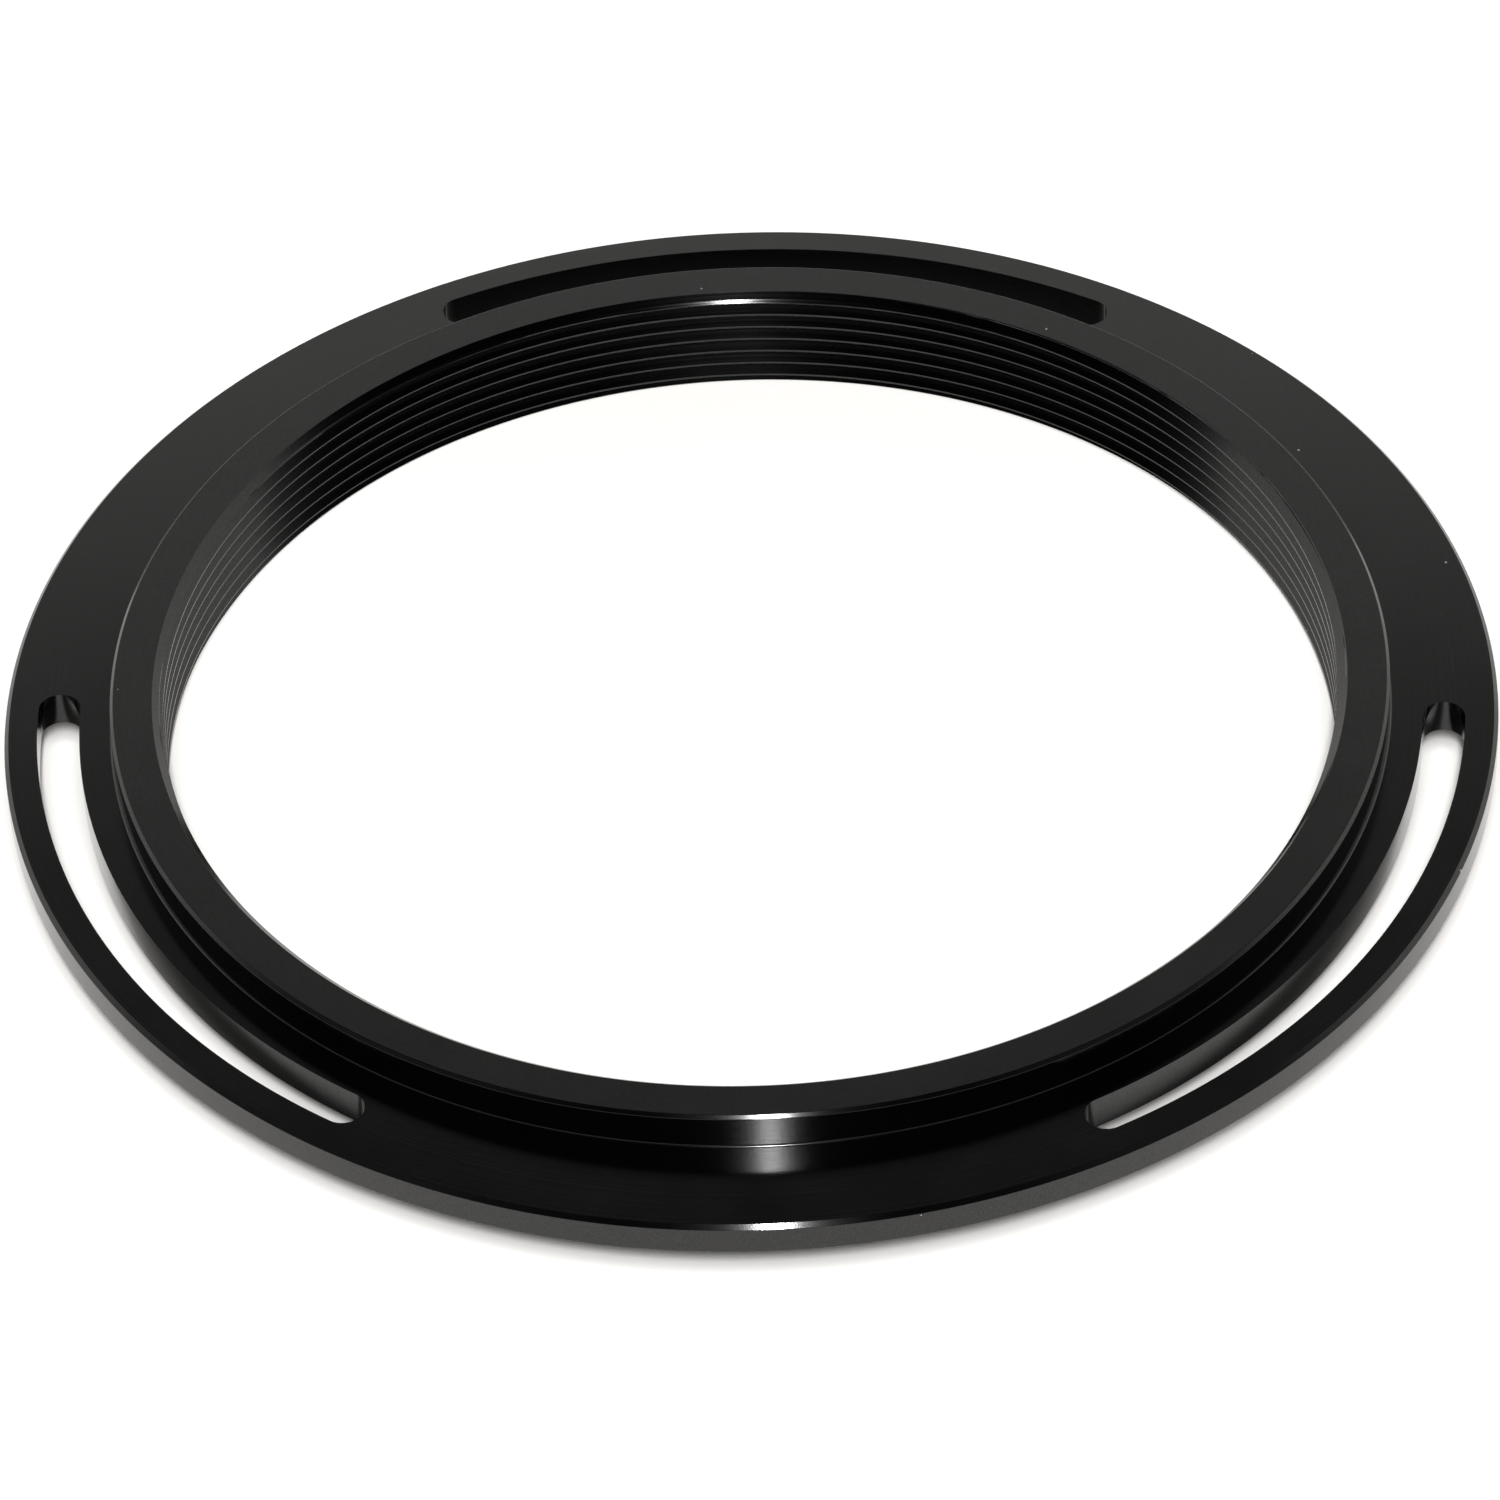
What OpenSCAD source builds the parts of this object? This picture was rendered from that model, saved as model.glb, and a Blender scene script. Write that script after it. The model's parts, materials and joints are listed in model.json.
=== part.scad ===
// Slotted lens hood ring, black anodised aluminium, millimetres.
// A threaded sleeve carries a flat flange with three arc-shaped vent slots.
// The origin is the centre of the sleeve's lower face. +Z is the optical axis and points
// to the front of the hood, and +Y runs through the middle of one vent slot.

/* [Flange] */
// Outer diameter of the slotted flange
flange_d = 69; // [68:0.5:80]
// Thickness of the flange
flange_t = 1.7; // [1:0.1:3]
// Edge break on both edges of the flange's rim
rim_break = 0.2; // [0.05:0.05:0.4]

/* [Vent slots] */
// Number of arc slots, evenly spaced
slot_count = 3; // [2:1:4]
// Radial width of a slot
slot_w = 1.95; // [1:0.05:2]
// Radius of a slot's centre line
slot_r = 32; // [31.2:0.1:32.4]
// Angle that a slot covers from tip to tip, in degrees
slot_sweep = 60; // [20:1:70]

/* [Collar] */
// Outer diameter of the raised collar
collar_d = 59; // [58.9:0.1:59.4]
// Height of the collar above the flange
collar_h = 1.8; // [1.5:0.05:5]
// Edge break on the collar's top outer edge
collar_break = 0.15; // [0.05:0.05:0.3]
// Fillet at the collar's foot, where it meets the flange
foot_fillet = 0.12; // [0.05:0.01:0.25]

/* [Front filter thread] */
// Nominal diameter of the female thread in the bore
filter_thread_d = 55; // [49:1:55]
// Depth of the first thread crest below the collar's top face
first_crest_depth = 0.34; // [0.34:0.01:0.7]
// Radial width of the shallow lead-in cone at the bore's front end
mouth_cone = 0.45; // [0.3:0.05:0.5]
// Edge break between that cone and the bore
mouth_break = 0.1; // [0.05:0.05:0.15]
// Lead-in chamfer at the bore's rear end
rear_chamfer = 0.3; // [0.1:0.05:0.4]

/* [Rear lens thread] */
// Nominal diameter of the male thread on the spigot
lens_thread_d = 58; // [57:0.5:58]
// Diameter of the seat that the flange is pressed on, above the thread
seat_d = 58.5; // [58.3:0.1:58.5]
// Length of the spigot below the flange
spigot_l = 1.95; // [1.9:0.05:6]
// Width of the undercut between the male thread and the flange
undercut_w = 0.4; // [0.3:0.1:0.6]
// Lead-in chamfer at the spigot's lower end
spigot_chamfer = 0.35; // [0.2:0.05:0.5]

/* [Both threads] */
// Thread pitch, the fine one that filter threads use
thread_pitch = 0.75; // [0.5:0.25:1]

/* [Hidden] */
$fn = 180;
OVERCUT = 1;

// ISO metric proportions, as fractions of the pitch
FEMALE_DEPTH = 0.5413;
MALE_DEPTH = 0.6134;
WIDE_FLAT = 0.25;
NARROW_FLAT = 0.125;
FILLET_STEPS = 4;
// How far the male thread's crests are cut below their nominal radius, and half the thread's angle
MALE_ALLOWANCE = 0.075;
FLANK_ANGLE = 30;

flange_r = flange_d / 2;
collar_r = collar_d / 2;
seat_r = seat_d / 2;
flange_z = spigot_l;
flange_top_z = flange_z + flange_t;
top_z = flange_top_z + collar_h;

female_root_r = filter_thread_d / 2;
female_crest_r = female_root_r - FEMALE_DEPTH * thread_pitch;
mouth_r = female_crest_r + mouth_cone;
cone_end_r = female_crest_r + mouth_break;
cone_end_z = top_z - (mouth_cone - mouth_break) * tan(FLANK_ANGLE);

male_crest_r = lens_thread_d / 2 - MALE_ALLOWANCE;
male_crest_flat = NARROW_FLAT + 2 * MALE_ALLOWANCE * tan(FLANK_ANGLE) / thread_pitch;
male_root_r = lens_thread_d / 2 - MALE_DEPTH * thread_pitch;
male_top_z = flange_z - undercut_w;

slot_end_angle = asin(slot_w / 2 / slot_r);
slot_arc = slot_sweep - 2 * slot_end_angle;
slot_pitch_angle = 360 / slot_count;
cutter_h = flange_t + 2 * OVERCUT;

// Height of each turn's groove centre. The lowest grooves run out into the chamfers there.
female_grooves = [
    for (z = top_z - first_crest_depth - thread_pitch / 2; z > 0; z = z - thread_pitch) z
];
male_grooves = [
    for (z = male_top_z - (1 + male_crest_flat) * thread_pitch / 2; z > 0; z = z - thread_pitch) z
];

// Quarter arc that flares the collar's wall out onto the flange, from the top down
function foot_arc() = [
    for (i = [0 : FILLET_STEPS])
        let (a = 90 * i / FILLET_STEPS)
        [collar_r + foot_fillet * (1 - cos(a)), flange_top_z + foot_fillet * (1 - sin(a))]
];

// Half section of the sleeve before its threads are cut
module sleeve_blank() {
    polygon(concat(
        [
            [female_crest_r + rear_chamfer, 0],
            [female_crest_r, rear_chamfer],
            [female_crest_r, cone_end_z - mouth_break],
            [cone_end_r, cone_end_z],
            [mouth_r, top_z],
            [collar_r - collar_break, top_z],
            [collar_r, top_z - collar_break]
        ],
        foot_arc(),
        [
            [seat_r, flange_top_z],
            [seat_r, flange_z],
            [male_root_r, flange_z],
            [male_root_r, male_top_z],
            [male_crest_r, male_top_z],
            [male_crest_r, spigot_chamfer],
            [male_crest_r - spigot_chamfer, 0]
        ]
    ));
}

// Half section of one turn's groove: wide where it opens at the crests, narrow at its root
module groove(crest_r, root_r, crest_flat, root_flat, z) {
    open_w = (1 - crest_flat) * thread_pitch;
    root_w = root_flat * thread_pitch;
    polygon([
        [crest_r, z - open_w / 2],
        [crest_r, z + open_w / 2],
        [root_r, z + root_w / 2],
        [root_r, z - root_w / 2]
    ]);
}

// Collar, bore and spigot, turned from one bar
module threaded_sleeve() {
    color([0.05, 0.05, 0.055])
        rotate_extrude()
            difference() {
                sleeve_blank();
                for (z = female_grooves)
                    groove(female_crest_r, female_root_r, WIDE_FLAT, NARROW_FLAT, z);
                for (z = male_grooves)
                    groove(male_crest_r, male_root_r, male_crest_flat, WIDE_FLAT, z);
            }
}

// Repeats a cutter for each slot, turned so that the first slot is centred on the +Y axis
module at_each_slot() {
    for (i = [0 : slot_count - 1])
        rotate([0, 0, 90 + i * slot_pitch_angle])
            translate([0, 0, flange_z - OVERCUT])
                children();
}

// Curved stretch of one slot, centred on the +X axis
module slot_sector() {
    rotate([0, 0, -slot_arc / 2])
        rotate_extrude(angle = slot_arc)
            translate([slot_r - slot_w / 2, 0])
                square([slot_w, cutter_h]);
}

// The two round ends of that slot
module slot_ends() {
    for (side = [-1, 1])
        rotate([0, 0, side * slot_arc / 2])
            translate([slot_r, 0, 0])
                cylinder(d = slot_w, h = cutter_h);
}

// Plain flat ring with broken edges on its rim
module flange_blank() {
    rotate_extrude()
        polygon([
            [seat_r, flange_z],
            [flange_r - rim_break, flange_z],
            [flange_r, flange_z + rim_break],
            [flange_r, flange_top_z - rim_break],
            [flange_r - rim_break, flange_top_z],
            [seat_r, flange_top_z]
        ]);
}

// Flat ring that is pressed up against the collar's shoulder. The slots' curved stretches are
// milled first and their round ends second.
module slotted_flange() {
    color([0.06, 0.06, 0.065])
        difference() {
            difference() {
                flange_blank();
                at_each_slot() slot_sector();
            }
            at_each_slot() slot_ends();
        }
}

threaded_sleeve();
slotted_flange();
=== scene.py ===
"""Looks of the lens hood ring: a turned sleeve with helical threads, a slotted flange and a studio."""

import json
import math

import bmesh
import bpy
from mathutils import Matrix, Vector


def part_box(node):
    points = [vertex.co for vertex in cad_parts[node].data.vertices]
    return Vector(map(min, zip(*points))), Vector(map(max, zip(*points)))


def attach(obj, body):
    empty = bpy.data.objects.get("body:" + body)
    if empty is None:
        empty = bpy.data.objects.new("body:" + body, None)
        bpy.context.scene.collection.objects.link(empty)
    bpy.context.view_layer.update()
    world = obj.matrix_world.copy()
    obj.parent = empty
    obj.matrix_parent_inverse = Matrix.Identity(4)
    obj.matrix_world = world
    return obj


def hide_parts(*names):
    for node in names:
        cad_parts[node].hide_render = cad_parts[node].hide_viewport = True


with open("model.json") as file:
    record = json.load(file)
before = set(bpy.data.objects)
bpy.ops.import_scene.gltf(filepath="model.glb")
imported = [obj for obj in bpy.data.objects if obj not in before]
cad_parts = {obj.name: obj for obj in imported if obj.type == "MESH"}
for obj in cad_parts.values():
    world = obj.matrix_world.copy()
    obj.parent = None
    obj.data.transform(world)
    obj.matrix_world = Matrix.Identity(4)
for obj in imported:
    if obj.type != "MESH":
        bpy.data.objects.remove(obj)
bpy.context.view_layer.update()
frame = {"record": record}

MM = 0.001

# ---------------------------------------------------------------- the ring's sizes, in metres

sleeve_low, sleeve_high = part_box("threaded_sleeve")
flange_low, flange_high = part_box("slotted_flange")
mounts = {m["name"]: m for m in frame["record"]["mounts"]}

BOTTOM_Z = sleeve_low.z
TOP_Z = sleeve_high.z
FLANGE_Z = flange_low.z
FLANGE_TOP_Z = flange_high.z
FLANGE_R = flange_high.x

# ISO metric proportions of both threads, as shares of the pitch
THREAD_PITCH = 0.75 * MM
FLANK_SLOPE = math.tan(math.radians(30))
NARROW_FLAT = 0.125
WIDE_FLAT = 0.25

# The bore's thread. A land is a crest's width and a root is a groove's, as shares of the pitch.
FEMALE_CREST_R = mounts["front_filter_thread"]["dims"]["r_mm"] * MM
FEMALE_DEPTH = 0.5413 * THREAD_PITCH
FEMALE_LAND = 0.09
FEMALE_ROOT = NARROW_FLAT
# Depth of its first crest below the top face, and the angle from +X where it has that depth
FIRST_CREST_DEPTH = 0.34 * MM
FIRST_CREST_ANGLE = 95

# Both mouths of the bore
MOUTH_CONE = 0.45 * MM
MOUTH_SLOPE = math.tan(math.radians(38))
MOUTH_BREAK = 0.13 * MM
REAR_CHAMFER = 0.3 * MM

# The spigot and its thread, whose crests are cut below the nominal radius
LENS_THREAD_R = 29 * MM
MALE_CREST_R = mounts["rear_lens_thread"]["dims"]["r_mm"] * MM
MALE_ROOT_R = LENS_THREAD_R - 0.6134 * THREAD_PITCH
MALE_LAND = NARROW_FLAT + 2 * (LENS_THREAD_R - MALE_CREST_R) * FLANK_SLOPE / THREAD_PITCH
MALE_ROOT = WIDE_FLAT
SPIGOT_CHAMFER = 0.35 * MM
UNDERCUT_W = 0.4 * MM

COLLAR_R = 29.5 * MM
COLLAR_BREAK = 0.15 * MM
FOOT_FILLET = 0.12 * MM
SEAT_R = 29.25 * MM

SLOT_COUNT = 3
SLOT_R = 32 * MM
SLOT_W = 1.95 * MM
SLOT_SWEEP = math.radians(60)
RIM_BREAK = 0.2 * MM

# How far a profile's corners are rounded back along its flats, and at most what share of a flat
SOFT = 0.02 * MM
SOFT_SHARE = 0.4

# ---------------------------------------------------------------- mesh helpers

# Columns of vertices round a full turn, and strips along the collar's foot fillet
COLUMNS = 360
FOOT_STEPS = 8


def ray(r, angle):
    """Point in plan at that radius and angle."""
    return Vector((r * math.cos(angle), r * math.sin(angle)))


def turned(point, angle):
    """A point or direction in plan, turned about the axis."""
    c, s = math.cos(angle), math.sin(angle)
    return Vector((point.x * c - point.y * s, point.x * s + point.y * c))


def unit(a, b):
    length = math.hypot(a, b)
    return (a / length, b / length)


def outward(start, end):
    """Normal of the line from start to end in the (r, z) plane, on its right-hand side."""
    return unit(end[1] - start[1], start[0] - end[0])


def softened(corners):
    """Profile of (r, z, normal) points through the corners, with each inner corner rounded a little.

    The flats between the corners keep one normal along their length.
    """
    profile = [(*corners[0], outward(corners[0], corners[1]))]
    for before, corner, after in zip(corners, corners[1:], corners[2:]):
        for far, normal in ((before, outward(before, corner)), (after, outward(corner, after))):
            share = min(SOFT / math.dist(far, corner), SOFT_SHARE)
            r = corner[0] + (far[0] - corner[0]) * share
            z = corner[1] + (far[1] - corner[1]) * share
            profile.append((r, z, normal))
    profile.append((*corners[-1], outward(corners[-2], corners[-1])))
    return profile


class Solid:
    """Collects a closed mesh. Points at the same place are one vertex."""

    def __init__(self):
        self.points = []
        self.faces = []
        self.normals = {}
        self.index = {}

    def point(self, x, y, z):
        key = (round(x, 9), round(y, 9), round(z, 9))
        if key not in self.index:
            self.index[key] = len(self.points)
            self.points.append((x, y, z))
        return self.index[key]

    def polar(self, r, column, z, normal):
        """A point on the ring and its normal, which is given in the (r, z) plane."""
        angle = 2 * math.pi * (column % COLUMNS) / COLUMNS
        x, y = math.cos(angle), math.sin(angle)
        return self.point(r * x, r * y, z), (normal[0] * x, normal[0] * y, normal[1])

    def face(self, corners):
        """Each corner is (vertex, normal). Repeated corners are dropped."""
        corners = [c for i, c in enumerate(corners) if c[0] != corners[i - 1][0]]
        if len(corners) > 2:
            for vertex, normal in corners:
                self.normals[len(self.faces), vertex] = normal
            self.faces.append([vertex for vertex, normal in corners])

    def revolve(self, profile):
        """A band of faces between each circle of the profile and the next."""
        for (r0, z0, n0), (r1, z1, n1) in zip(profile, profile[1:]):
            for column in range(COLUMNS):
                self.face([
                    self.polar(r0, column, z0, n0),
                    self.polar(r0, column + 1, z0, n0),
                    self.polar(r1, column + 1, z1, n1),
                    self.polar(r1, column, z1, n1),
                ])

    def build(self, name):
        """Makes the object. Its faces are turned outwards and keep their corners' own normals."""
        mesh = bpy.data.meshes.new(name)
        mesh.from_pydata(self.points, [], self.faces)
        bm = bmesh.new()
        bm.from_mesh(mesh)
        bmesh.ops.recalc_face_normals(bm, faces=bm.faces)
        bm.to_mesh(mesh)
        bm.free()
        mesh.shade_smooth()
        normals = [None] * len(mesh.loops)
        for polygon in mesh.polygons:
            for i in polygon.loop_indices:
                normals[i] = self.normals[polygon.index, mesh.loops[i].vertex_index]
        mesh.normals_split_custom_set(normals)
        obj = bpy.data.objects.new(name, mesh)
        bpy.context.scene.collection.objects.link(obj)
        return obj


# ---------------------------------------------------------------- threads

# Strips of faces on each flank
FLANK_STRIPS = 10


def thread_rows(land, root):
    """Places along the pitch, from 0 to 1, where the thread's surface has a row of vertices."""
    flank = (1 - land - root) / 2
    half = [0.0] + [land / 2 + flank * i / FLANK_STRIPS for i in range(FLANK_STRIPS + 1)]
    return half + [0.5] + [1 - s for s in reversed(half[1:])]


def thread_depth(place, land, root):
    """Share of the full depth at a place along the pitch: 0 on the crest and 1 in the root."""
    s = abs((place + 0.5) % 1 - 0.5)
    flank = (1 - land - root) / 2
    return min(1.0, max(0.0, (s - land / 2) / flank))


def helical_wall(solid, low, high, crest_z, land, root, side, radius):
    """A right-hand thread between the circles low and high.

    crest_z is a crest's height at column 0. side is 1 for an outer wall and -1 for a bore.
    radius(depth share, z) gives the wall's radius.
    """
    rows = thread_rows(land, root)
    # No strip next to an end circle is thinner than this
    smallest = 0.002 * MM

    def place(column, row):
        turn, step = divmod(row, len(rows))
        z = crest_z + (turn + rows[step] + column / COLUMNS) * THREAD_PITCH
        if z < low[1] + smallest:
            return low
        if z > high[1] - smallest:
            return high
        return (radius(thread_depth(rows[step], land, root), z), z)

    def normal(start, end):
        if start == end:
            return None
        n = outward(start, end)
        return (n[0] * side, n[1] * side)

    first = math.floor((low[1] - crest_z) / THREAD_PITCH - 1) * len(rows) - 1
    last = math.ceil((high[1] - crest_z) / THREAD_PITCH) * len(rows) + 1
    lines = [[place(c, row) for row in range(first, last + 1)] for c in range(COLUMNS + 1)]
    for column, (here, there) in enumerate(zip(lines, lines[1:])):
        for a, b, c, d in zip(here, here[1:], there[1:], there):
            left, right = normal(a, b), normal(d, c)
            if left or right:
                left, right = left or right, right or left
                solid.face([
                    solid.polar(a[0], column, a[1], left),
                    solid.polar(d[0], column + 1, d[1], right),
                    solid.polar(c[0], column + 1, c[1], right),
                    solid.polar(b[0], column, b[1], left),
                ])


# ---------------------------------------------------------------- the pieces


def threaded_sleeve():
    """Collar, threaded bore and threaded spigot, turned from one bar."""
    solid = Solid()
    mouth_r = FEMALE_CREST_R + MOUTH_CONE
    rear_r = FEMALE_CREST_R + REAR_CHAMFER
    cone_depth = (MOUTH_CONE - MOUTH_BREAK) * MOUTH_SLOPE
    undercut_z = FLANGE_Z - UNDERCUT_W
    tip_r = MALE_CREST_R - SPIGOT_CHAMFER

    def female_radius(depth, z):
        rear = rear_r - (z - BOTTOM_Z)
        cone = mouth_r - (TOP_Z - z) / MOUTH_SLOPE
        edge_break = FEMALE_CREST_R + MOUTH_BREAK - (TOP_Z - z - cone_depth)
        return max(FEMALE_CREST_R + depth * FEMALE_DEPTH, rear, cone, edge_break)

    def male_radius(depth, z):
        chamfer = tip_r + (z - BOTTOM_Z)
        runout = MALE_ROOT_R + (undercut_z - z) / FLANK_SLOPE
        thread = MALE_CREST_R - depth * (MALE_CREST_R - MALE_ROOT_R)
        return max(MALE_ROOT_R, min(thread, chamfer, runout))

    lower_mouth = (rear_r, BOTTOM_Z)
    upper_mouth = (mouth_r, TOP_Z)
    tip = (tip_r, BOTTOM_Z)
    undercut = (MALE_ROOT_R, undercut_z)

    crest_z = TOP_Z - FIRST_CREST_DEPTH - THREAD_PITCH * FIRST_CREST_ANGLE / 360
    helical_wall(solid, lower_mouth, upper_mouth, crest_z, FEMALE_LAND, FEMALE_ROOT, -1, female_radius)
    helical_wall(solid, tip, undercut, undercut_z, MALE_LAND, MALE_ROOT, 1, male_radius)
    solid.revolve(softened([lower_mouth, tip]))
    solid.revolve(softened([
        undercut,
        (MALE_ROOT_R, FLANGE_Z),
        (SEAT_R, FLANGE_Z),
        (SEAT_R, FLANGE_TOP_Z),
    ]))
    solid.revolve(softened([(SEAT_R, FLANGE_TOP_Z), (COLLAR_R + FOOT_FILLET, FLANGE_TOP_Z)]))
    foot = []
    for i in range(FOOT_STEPS + 1):
        a = math.radians(90 * i / FOOT_STEPS)
        r = COLLAR_R + FOOT_FILLET * (1 - math.sin(a))
        z = FLANGE_TOP_Z + FOOT_FILLET * (1 - math.cos(a))
        foot.append((r, z, (math.sin(a), math.cos(a))))
    solid.revolve(foot)
    solid.revolve(softened([
        (COLLAR_R, FLANGE_TOP_Z + FOOT_FILLET),
        (COLLAR_R, TOP_Z - COLLAR_BREAK),
        (COLLAR_R - COLLAR_BREAK, TOP_Z),
        upper_mouth,
    ]))
    return solid.build("sleeve")


def slot_columns():
    """Points of one slot's edge, column by column, about the +X axis.

    Each is (angle, inner point, inner normal, outer point, outer normal), where a normal points
    into the metal. At the tips both points are one.
    """
    end_r = SLOT_W / 2
    end_angle = math.asin(end_r / SLOT_R)
    straight = SLOT_SWEEP / 2 - end_angle
    cap_steps = 12
    arc_steps = 54
    columns = []

    def cap(side, step):
        turn = math.radians(90) * step / cap_steps
        along = side * math.sin(turn)
        points = []
        for out in (-1, 1):
            normal = Vector((out * math.cos(turn), along))
            point = Vector((SLOT_R, 0)) + end_r * normal
            points += [turned(point, side * straight), turned(normal, side * straight)]
        return (side * (straight + end_angle * math.sin(turn)), *points)

    for step in range(cap_steps, 0, -1):
        columns.append(cap(-1, step))
    for i in range(arc_steps + 1):
        angle = straight * (2 * i / arc_steps - 1)
        inner, outer = ray(SLOT_R - end_r, angle), ray(SLOT_R + end_r, angle)
        columns.append((angle, inner, ray(-1, angle), outer, ray(1, angle)))
    for step in range(1, cap_steps + 1):
        columns.append(cap(1, step))
    return columns


def slotted_flange():
    """Flat ring with three arc slots. Its rim has broken edges, and the slots have sharp ones."""
    solid = Solid()
    columns = slot_columns()
    tip_angle = columns[-1][0]
    land_angle = 2 * math.pi / SLOT_COUNT - 2 * tip_angle
    land_steps = 60
    rim = softened([
        (FLANGE_R - RIM_BREAK, FLANGE_Z),
        (FLANGE_R, FLANGE_Z + RIM_BREAK),
        (FLANGE_R, FLANGE_TOP_Z - RIM_BREAK),
        (FLANGE_R - RIM_BREAK, FLANGE_TOP_Z),
    ])

    def at(point, z, turn, normal):
        """A vertex and its normal, both turned about the axis. normal is (plan vector, z)."""
        return solid.point(*turned(point, turn), z), (*turned(normal[0], turn), normal[1])

    # Each column across the ring in plan: its bore, slot edge, slot edge and rim
    plan = []
    for angle, inner, _, outer, _ in columns:
        plan.append((angle, ray(SEAT_R, angle), inner, outer, ray(FLANGE_R - RIM_BREAK, angle)))
    for step in range(1, land_steps):
        angle = tip_angle + land_angle * step / land_steps
        middle = ray(SLOT_R, angle)
        plan.append((angle, ray(SEAT_R, angle), middle, middle, ray(FLANGE_R - RIM_BREAK, angle)))

    # The first slot's middle is on the +Y axis
    still = Vector((0, 0))
    for i in range(SLOT_COUNT):
        turn = math.radians(90) + 2 * math.pi * i / SLOT_COUNT
        next_turn = turn + 2 * math.pi / SLOT_COUNT

        for j, here in enumerate(plan):
            there = plan[(j + 1) % len(plan)]
            there_turn = turn if j + 1 < len(plan) else next_turn
            for z, up in ((FLANGE_Z, (still, -1)), (FLANGE_TOP_Z, (still, 1))):
                for a, b in ((1, 2), (3, 4)):
                    solid.face([
                        at(here[a], z, turn, up),
                        at(there[a], z, there_turn, up),
                        at(there[b], z, there_turn, up),
                        at(here[b], z, turn, up),
                    ])
            solid.face([
                at(here[1], FLANGE_Z, turn, (ray(-1, here[0]), 0)),
                at(there[1], FLANGE_Z, there_turn, (ray(-1, there[0]), 0)),
                at(there[1], FLANGE_TOP_Z, there_turn, (ray(-1, there[0]), 0)),
                at(here[1], FLANGE_TOP_Z, turn, (ray(-1, here[0]), 0)),
            ])
            for (r0, z0, n0), (r1, z1, n1) in zip(rim, rim[1:]):
                solid.face([
                    at(ray(r0, here[0]), z0, turn, (ray(n0[0], here[0]), n0[1])),
                    at(ray(r0, there[0]), z0, there_turn, (ray(n0[0], there[0]), n0[1])),
                    at(ray(r1, there[0]), z1, there_turn, (ray(n1[0], there[0]), n1[1])),
                    at(ray(r1, here[0]), z1, turn, (ray(n1[0], here[0]), n1[1])),
                ])

        for here, there in zip(columns, columns[1:]):
            for k in (1, 3):
                solid.face([
                    at(here[k], FLANGE_Z, turn, (-here[k + 1], 0)),
                    at(there[k], FLANGE_Z, turn, (-there[k + 1], 0)),
                    at(there[k], FLANGE_TOP_Z, turn, (-there[k + 1], 0)),
                    at(here[k], FLANGE_TOP_Z, turn, (-here[k + 1], 0)),
                ])
    return solid.build("flange")


# ---------------------------------------------------------------- materials


def new_material(name):
    """Gives the material, its nodes, its links and its shader node."""
    material = bpy.data.materials.new(name)
    material.use_nodes = True
    nodes = material.node_tree.nodes
    links = material.node_tree.links
    return material, nodes, links, nodes["Principled BSDF"]


def math_node(nodes, links, operation, *values):
    """Adds a math node whose inputs are numbers or other nodes' outputs. Gives its output."""
    node = nodes.new("ShaderNodeMath")
    node.operation = operation
    for socket, value in zip(node.inputs, values):
        if isinstance(value, (int, float)):
            socket.default_value = value
        else:
            links.new(value, socket)
    return node.outputs["Value"]


# Features per metre, and the range in which most of a noise lies
TURNING_SCALE = 9000
GRAIN_SCALE = 14000
CLOUD_SCALE = 220
DUST_SCALE = 420
NOISE_RANGE = (0.3, 0.7)

# How far the clouds and the turning rings change the roughness, each way
CLOUD_ROUGHNESS = 0.015
TURNING_ROUGHNESS = 0.02

BLACK = (0.0005, 0.0005, 0.0006)
COATING_IOR = 1.52
GRAIN_SPECULAR = (0.38, 0.62)
TURNING_HEIGHT = 0.0004 * MM
# A quarter turn stretches the highlights across the turning marks
ANISOTROPY = 0.53
ANISOTROPY_TURN = 0.25
# Thickness of the layer under the top plane that counts as the faced end
FACE_DEPTH = 0.01 * MM

# Radius of a speck as a share of its cell, and the share of cells that hold none
DUST_SIZE = 0.026
DUST_RARITY = 0.45
DUST_COLOUR = (0.35, 0.34, 0.33)
DUST_ROUGHNESS = 0.5


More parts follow.
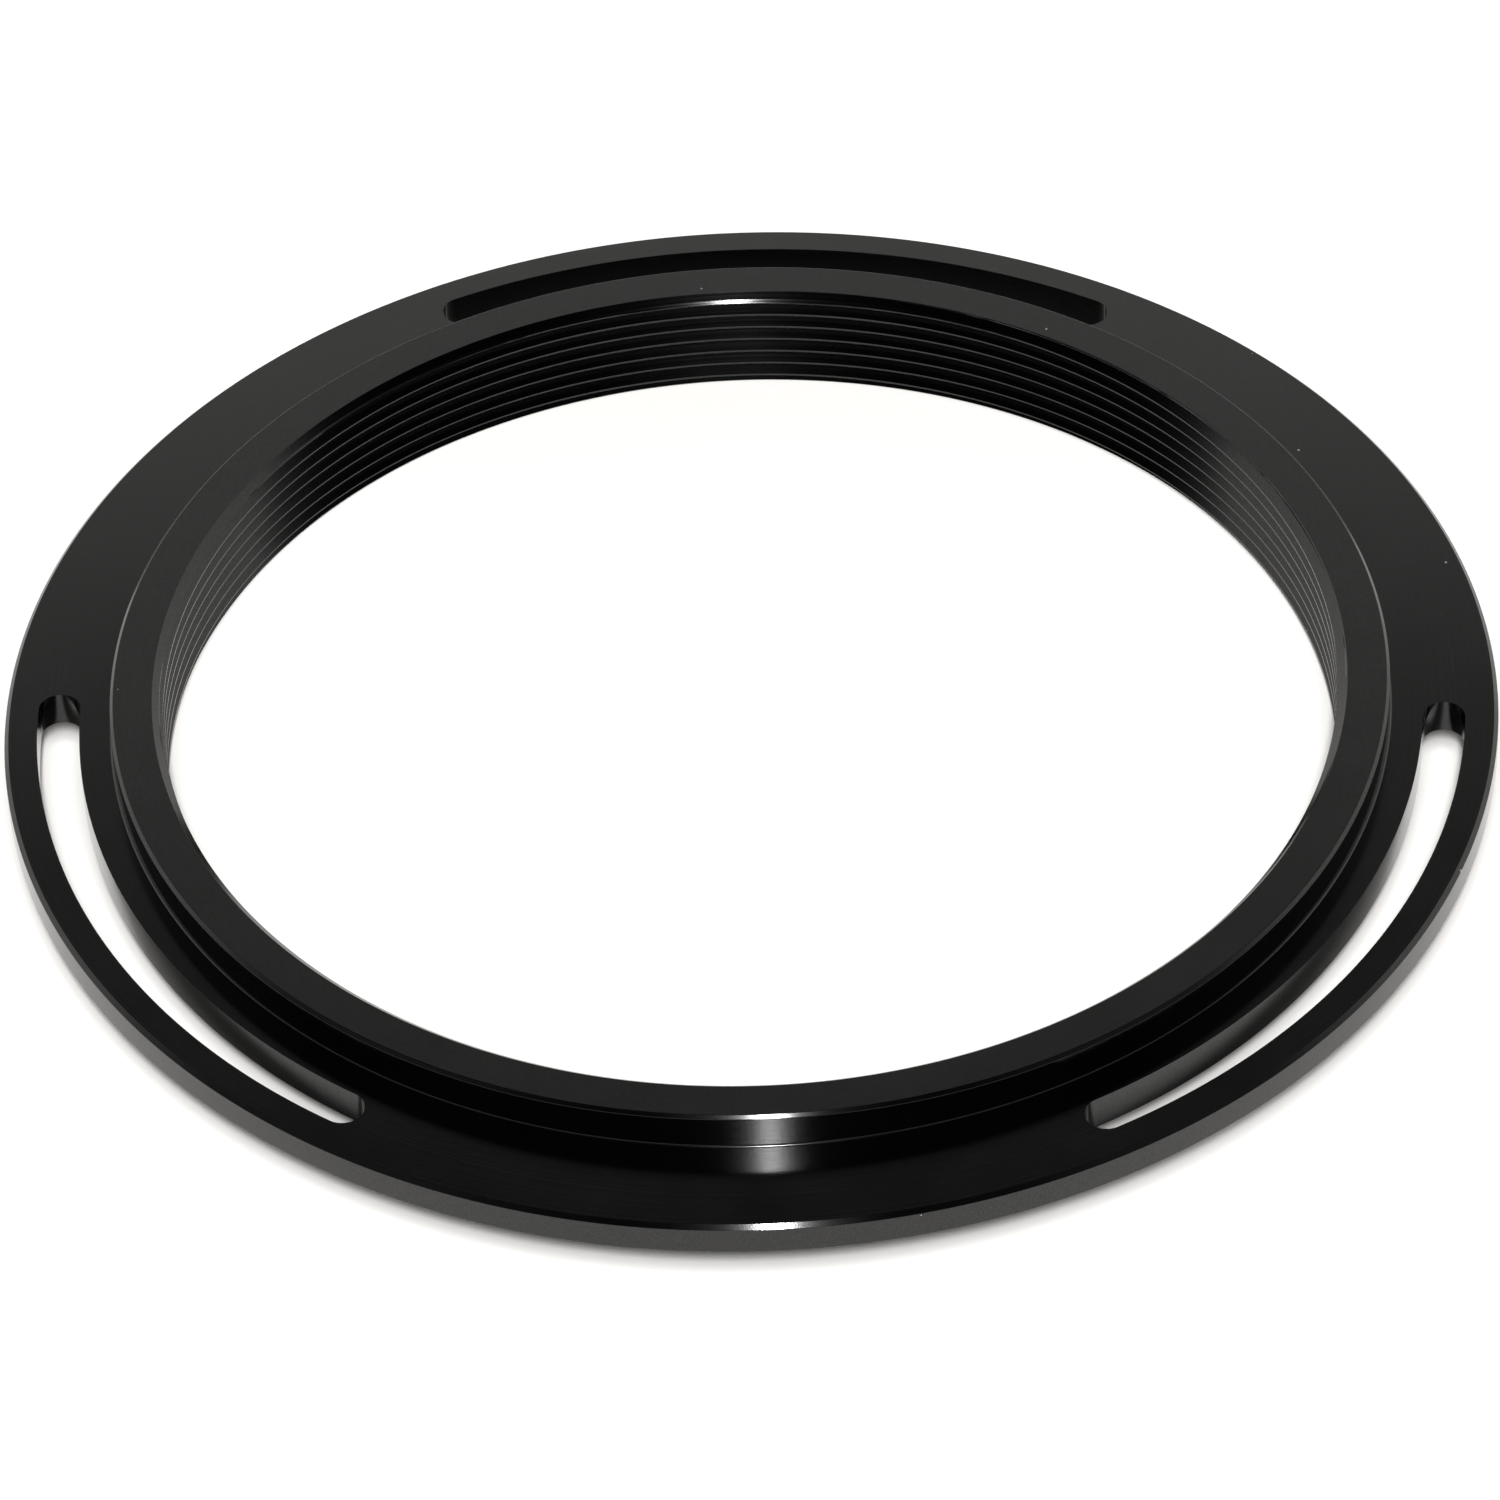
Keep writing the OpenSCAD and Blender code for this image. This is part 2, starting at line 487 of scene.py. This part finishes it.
def anodised(name, light, rough, face_rough, grain_height):
    """Satin black anodised aluminium over a turned surface.

    The turning marks run round the axis, so highlights are narrow round the ring and long across
    it. Over them lie a fine etched grain, faint turning rings and a few specks of dust. The
    roughness is rough, and face_rough on the ring's top plane.
    """
    material, nodes, links, shader = new_material(name)
    place = nodes.new("ShaderNodeTexCoord").outputs["Object"]

    def noise(scale, detail):
        node = nodes.new("ShaderNodeTexNoise")
        node.inputs["Scale"].default_value = scale
        node.inputs["Detail"].default_value = detail
        links.new(place, node.inputs["Vector"])
        return node.outputs["Fac"]

    def spread(value, low, high):
        node = nodes.new("ShaderNodeMapRange")
        node.inputs["From Min"].default_value = NOISE_RANGE[0]
        node.inputs["From Max"].default_value = NOISE_RANGE[1]
        node.inputs["To Min"].default_value = low
        node.inputs["To Max"].default_value = high
        links.new(value, node.inputs["Value"])
        return node.outputs["Result"]

    def add(a, b):
        return math_node(nodes, links, "ADD", a, b)

    def multiply(a, b):
        return math_node(nodes, links, "MULTIPLY", a, b)

    # Distance from the axis plus height: constant along each turning mark on any face
    split = nodes.new("ShaderNodeSeparateXYZ")
    links.new(place, split.inputs["Vector"])
    x_squared = multiply(split.outputs["X"], split.outputs["X"])
    y_squared = multiply(split.outputs["Y"], split.outputs["Y"])
    radius = math_node(nodes, links, "SQRT", add(x_squared, y_squared))
    across = add(radius, split.outputs["Z"])
    rings = nodes.new("ShaderNodeTexNoise")
    rings.noise_dimensions = "1D"
    rings.inputs["Scale"].default_value = TURNING_SCALE
    rings.inputs["Detail"].default_value = 2
    links.new(across, rings.inputs["W"])

    grain = noise(GRAIN_SCALE, 2)
    clouds = noise(CLOUD_SCALE, 3)

    specks = nodes.new("ShaderNodeTexVoronoi")
    specks.inputs["Scale"].default_value = DUST_SCALE
    specks.inputs["Randomness"].default_value = 1
    links.new(place, specks.inputs["Vector"])
    chosen = nodes.new("ShaderNodeSeparateColor")
    links.new(specks.outputs["Color"], chosen.inputs["Color"])
    near = math_node(nodes, links, "LESS_THAN", specks.outputs["Distance"], DUST_SIZE)
    dusty = math_node(nodes, links, "GREATER_THAN", chosen.outputs["Red"], DUST_RARITY)
    dust = multiply(near, dusty)

    tint = nodes.new("ShaderNodeMix")
    tint.data_type = "RGBA"
    tint.inputs["A"].default_value = (*BLACK, 1)
    tint.inputs["B"].default_value = (*light, 1)
    links.new(spread(multiply(add(grain, clouds), 0.5), 0, 1), tint.inputs["Factor"])
    dusted = nodes.new("ShaderNodeMix")
    dusted.data_type = "RGBA"
    dusted.inputs["B"].default_value = (*DUST_COLOUR, 1)
    links.new(dust, dusted.inputs["Factor"])
    links.new(tint.outputs["Result"], dusted.inputs["A"])
    links.new(dusted.outputs["Result"], shader.inputs["Base Color"])

    wear = spread(clouds, -CLOUD_ROUGHNESS, CLOUD_ROUGHNESS)
    fine = spread(rings.outputs["Fac"], -TURNING_ROUGHNESS, TURNING_ROUGHNESS)
    faced = math_node(nodes, links, "GREATER_THAN", split.outputs["Z"], TOP_Z - FACE_DEPTH)
    base = add(multiply(faced, face_rough - rough), rough)
    roughness = add(add(wear, fine), base)
    links.new(add(roughness, multiply(dust, DUST_ROUGHNESS)), shader.inputs["Roughness"])

    ring_bump = nodes.new("ShaderNodeBump")
    ring_bump.inputs["Strength"].default_value = 1
    ring_bump.inputs["Distance"].default_value = TURNING_HEIGHT
    links.new(rings.outputs["Fac"], ring_bump.inputs["Height"])
    grain_bump = nodes.new("ShaderNodeBump")
    grain_bump.inputs["Strength"].default_value = 1
    grain_bump.inputs["Distance"].default_value = grain_height
    links.new(grain, grain_bump.inputs["Height"])
    links.new(ring_bump.outputs["Normal"], grain_bump.inputs["Normal"])
    links.new(grain_bump.outputs["Normal"], shader.inputs["Normal"])

    tangent = nodes.new("ShaderNodeTangent")
    tangent.direction_type = "RADIAL"
    tangent.axis = "Z"
    links.new(tangent.outputs["Tangent"], shader.inputs["Tangent"])
    shader.inputs["Anisotropic"].default_value = ANISOTROPY
    shader.inputs["Anisotropic Rotation"].default_value = ANISOTROPY_TURN
    shader.inputs["IOR"].default_value = COATING_IOR
    links.new(spread(grain, *GRAIN_SPECULAR), shader.inputs["Specular IOR Level"])
    shader.inputs["Metallic"].default_value = 0
    return material


def pale_table():
    """Matt white table top with the faintest mottling."""
    material, nodes, links, shader = new_material("pale_table")
    place = nodes.new("ShaderNodeTexCoord").outputs["Object"]
    mottle = nodes.new("ShaderNodeTexNoise")
    mottle.inputs["Scale"].default_value = 30
    mottle.inputs["Detail"].default_value = 4
    links.new(place, mottle.inputs["Vector"])
    tone = nodes.new("ShaderNodeMix")
    tone.data_type = "RGBA"
    tone.inputs["A"].default_value = (0.88, 0.865, 0.845, 1)
    tone.inputs["B"].default_value = (0.9, 0.885, 0.865, 1)
    links.new(mottle.outputs["Fac"], tone.inputs["Factor"])
    links.new(tone.outputs["Result"], shader.inputs["Base Color"])
    shader.inputs["Roughness"].default_value = 1
    shader.inputs["Specular IOR Level"].default_value = 0
    return material


# ---------------------------------------------------------------- camera and studio

# Angles are in degrees, and azimuth 0 is in front of the ring, at -Y. Lengths are in metres.
CAMERA_AZIMUTH = 4.0
CAMERA_ELEVATION = 41.725
CAMERA_DISTANCE = 424.1 * MM
CAMERA_ROLL = -2.38
CAMERA_LENS = 220.2
# The point that the camera looks at, from the middle of the flange's top: to the right and away
AIM_SIDE = -0.1 * MM
AIM_FORWARD = -3.55 * MM

FLOOR_HALF = 1.5

KEY_AZIMUTH = 4.4
KEY_ELEVATION = 47.5
KEY_DISTANCE = 0.9
KEY_WIDTH = 0.046
KEY_HEIGHT = 0.19
KEY_POWER = 6

FILL_ELEVATION = 60
FILL_DISTANCE = 1.2
FILL_SIZE = 0.5
FILL_POWER = 10

ROOM_COLOUR = (1, 0.985, 0.96)
# The surroundings are white up to an angle, and above it their light halves with each step of sine
SWEEP_LIGHT = 1.0
SWEEP_TOP = 39.1
SWEEP_HALVING = 0.018
# The room in front of the ring is dimmer. The dimming and the panel fade in over these ranges of
# the direction's Y and Z.
FRONT_DIMMING = 0.85
FRONT_Y_RANGE = (0.3, -0.2)
FRONT_Z_RANGE = (0.05, 0.2)
PANEL_LIGHT = 0.6
PANEL_Z_RANGE = (0.9925, 0.996)


def towards(azimuth, elevation):
    """Unit vector from the ring to a point at that azimuth and elevation."""
    a = math.radians(azimuth)
    e = math.radians(elevation)
    return Vector((math.sin(a) * math.cos(e), -math.cos(a) * math.cos(e), math.sin(e)))


def make_camera():
    centre = Vector((0, 0, FLANGE_TOP_Z))
    forward = -towards(CAMERA_AZIMUTH, 0)
    side = Vector((forward.y, -forward.x, 0))
    aim = centre + side * AIM_SIDE + forward * AIM_FORWARD
    data = bpy.data.cameras.new("camera")
    data.sensor_width = 36
    data.lens = CAMERA_LENS
    data.clip_start = 0.01
    data.clip_end = 20
    camera = bpy.data.objects.new("camera", data)
    camera.location = centre + towards(CAMERA_AZIMUTH, CAMERA_ELEVATION) * CAMERA_DISTANCE
    look = (aim - camera.location).to_track_quat("-Z", "Y").to_matrix().to_4x4()
    roll = Matrix.Rotation(math.radians(CAMERA_ROLL), 4, "Z")
    camera.rotation_euler = (look @ roll).to_euler()
    bpy.context.scene.collection.objects.link(camera)
    bpy.context.scene.camera = camera


def make_floor_light(floor):
    """Large soft light high above the camera that only lights the table."""
    data = bpy.data.lights.new("table_light", "AREA")
    data.shape = "DISK"
    data.size = FILL_SIZE
    data.energy = FILL_POWER
    light = bpy.data.objects.new("table_light", data)
    direction = towards(KEY_AZIMUTH, FILL_ELEVATION)
    light.location = direction * FILL_DISTANCE
    light.rotation_euler = (-direction).to_track_quat("-Z", "Y").to_euler()
    bpy.context.scene.collection.objects.link(light)
    lit = bpy.data.collections.new("lit_by_table_light")
    lit.objects.link(floor)
    light.light_linking.receiver_collection = lit


def make_floor():
    mesh = bpy.data.meshes.new("floor")
    signs = ((-1, -1), (1, -1), (1, 1), (-1, 1))
    corners = [(x * FLOOR_HALF, y * FLOOR_HALF, BOTTOM_Z) for x, y in signs]
    mesh.from_pydata(corners, [], [(0, 1, 2, 3)])
    floor = bpy.data.objects.new("floor", mesh)
    bpy.context.scene.collection.objects.link(floor)
    mesh.materials.append(pale_table())
    make_floor_light(floor)


def make_key_light():
    """Small upright soft light just above the camera."""
    data = bpy.data.lights.new("key", "AREA")
    data.shape = "ELLIPSE"
    data.size = KEY_WIDTH
    data.size_y = KEY_HEIGHT
    data.energy = KEY_POWER
    key = bpy.data.objects.new("key", data)
    direction = towards(KEY_AZIMUTH, KEY_ELEVATION)
    key.location = direction * KEY_DISTANCE
    key.rotation_euler = (-direction).to_track_quat("-Z", "Y").to_euler()
    bpy.context.scene.collection.objects.link(key)


def make_surroundings():
    """White sweep all round that fades upwards into a dark room."""
    world = bpy.data.worlds.new("studio")
    bpy.context.scene.world = world
    world.use_nodes = True
    nodes = world.node_tree.nodes
    links = world.node_tree.links

    def calculate(operation, a, b):
        return math_node(nodes, links, operation, a, b)

    direction = nodes.new("ShaderNodeTexCoord").outputs["Generated"]
    split = nodes.new("ShaderNodeSeparateXYZ")
    links.new(direction, split.inputs["Vector"])
    above = calculate("SUBTRACT", split.outputs["Z"], math.sin(math.radians(SWEEP_TOP)))
    steps = calculate("MAXIMUM", calculate("DIVIDE", above, SWEEP_HALVING), 0)
    sweep = calculate("MULTIPLY", calculate("POWER", 0.5, steps), SWEEP_LIGHT)

    def ramp(value, start, end):
        node = nodes.new("ShaderNodeMapRange")
        node.interpolation_type = "SMOOTHSTEP"
        node.inputs["From Min"].default_value = start
        node.inputs["From Max"].default_value = end
        links.new(value, node.inputs["Value"])
        return node.outputs["Result"]

    # The room in front of the ring is dim above the table's edge, and a small panel is overhead
    raised = ramp(split.outputs["Z"], *FRONT_Z_RANGE)
    front = calculate("MULTIPLY", ramp(split.outputs["Y"], *FRONT_Y_RANGE), raised)
    dimmed = calculate("SUBTRACT", 1, calculate("MULTIPLY", front, FRONT_DIMMING))
    walls = calculate("MULTIPLY", sweep, dimmed)
    panel = calculate("MULTIPLY", ramp(split.outputs["Z"], *PANEL_Z_RANGE), PANEL_LIGHT)
    strength = calculate("ADD", walls, panel)
    background = nodes["Background"]
    background.inputs["Color"].default_value = (*ROOM_COLOUR, 1)
    links.new(strength, background.inputs["Strength"])


# ---------------------------------------------------------------- putting it together

sleeve = threaded_sleeve()
sleeve_finish = anodised(
    "anodised_sleeve",
    light=(0.0012, 0.0012, 0.0013),
    rough=0.125,
    face_rough=0.22,
    grain_height=0.0004 * MM,
)
sleeve.data.materials.append(sleeve_finish)
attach(sleeve, "root")
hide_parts("threaded_sleeve")

flange = slotted_flange()
flange_finish = anodised(
    "anodised_flange",
    light=(0.0014, 0.0014, 0.0015),
    rough=0.12,
    face_rough=0.12,
    grain_height=0.0005 * MM,
)
flange.data.materials.append(flange_finish)
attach(flange, "root")
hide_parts("slotted_flange")

make_camera()
make_floor()
make_key_light()
make_surroundings()
bpy.context.scene.view_settings.view_transform = "Standard"
